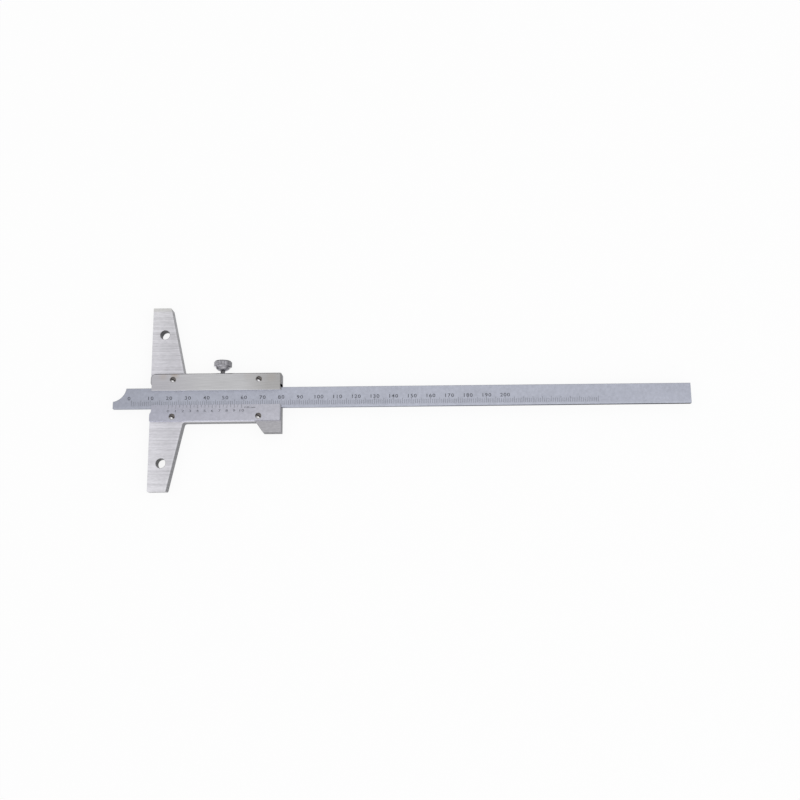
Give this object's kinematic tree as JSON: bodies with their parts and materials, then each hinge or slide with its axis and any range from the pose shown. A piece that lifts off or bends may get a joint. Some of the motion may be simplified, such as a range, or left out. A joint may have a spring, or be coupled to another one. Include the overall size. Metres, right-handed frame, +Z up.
{
  "type": "depth caliper",
  "caption": "Vernier depth caliper: a graduated beam slides through a T-shaped base, and a knurled screw clamps it.",
  "frame": {"origin": "where the measuring plane of the base, the centre line of the beam and the back face meet", "axes": "+X from the measuring plane towards the far end of the beam, +Y along the base towards the clamp screw's side, +Z up from the back face, which lies on the table"},
  "size_m": [0.31, 0.1, 0.0097],
  "materials": {
    "ground_steel": "surface-ground stainless steel with fine lines along the beam's direction",
    "cover_steel": "lapped stainless steel, warm grey",
    "satin_chrome": "glare-free satin chrome with black filled graduations",
    "spring_bronze": "rolled phosphor bronze strip",
    "dark_steel": "turned and knurled steel, darker grey",
    "screw_steel": "bright turned screw steel"
  },
  "bodies": {
    "frame": {"base_frame": "ground_steel", "cover_plate": "cover_steel", "vernier_plate": "satin_chrome", "leaf_spring": "spring_bronze", "cover_screw_left": "screw_steel", "cover_screw_right": "screw_steel", "vernier_screw_left": "screw_steel", "vernier_screw_right": "screw_steel"},
    "beam": {"main_beam": "satin_chrome"},
    "clamp": {"clamp_screw": "dark_steel"}
  },
  "joints": [
    {"name": "beam_slide", "type": "slide", "parent": "frame", "child": "beam", "axis": [-1, 0, 0], "range_m": [-0.02, 0.18]},
    {"name": "clamp_screw_turn", "type": "hinge", "parent": "frame", "child": "clamp", "pos_m": [0.0382, 0, 0.0049], "axis": [0, 1, 0], "range_deg": [-30, 360]}
  ]
}
